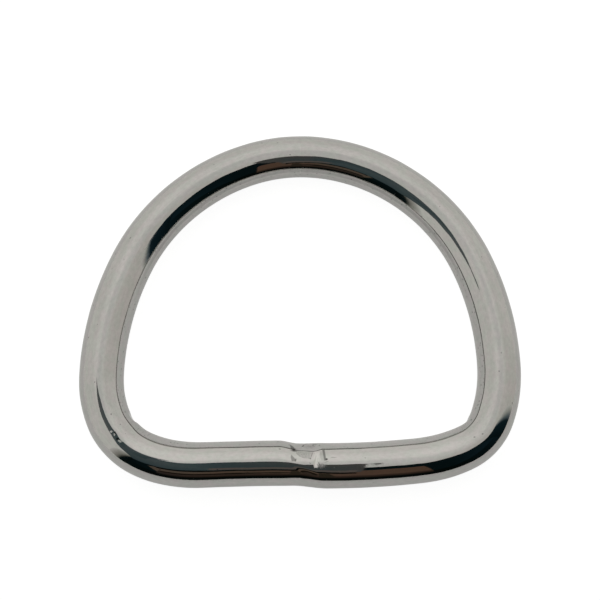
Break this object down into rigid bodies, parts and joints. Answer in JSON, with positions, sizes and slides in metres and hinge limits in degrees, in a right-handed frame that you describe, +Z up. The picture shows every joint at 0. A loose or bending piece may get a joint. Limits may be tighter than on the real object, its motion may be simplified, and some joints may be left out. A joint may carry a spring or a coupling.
{
  "type": "welded d ring",
  "caption": "Flat welded D ring of round polished wire, with a straight bar for webbing and a rounded bow that takes the pull.",
  "frame": {"origin": "under the middle of the ring, on the surface that it lies on", "axes": "+X along the bar, to the right in the picture; +Y from the bar to the crown; +Z up, out of the ring's plane"},
  "size_m": [0.05, 0.0418, 0.005],
  "materials": {
    "wire": "polished round stainless wire, with faint lines along it, fine pits and small scratches"
  },
  "bodies": {
    "root": {"ring": "wire"}
  },
  "joints": []
}
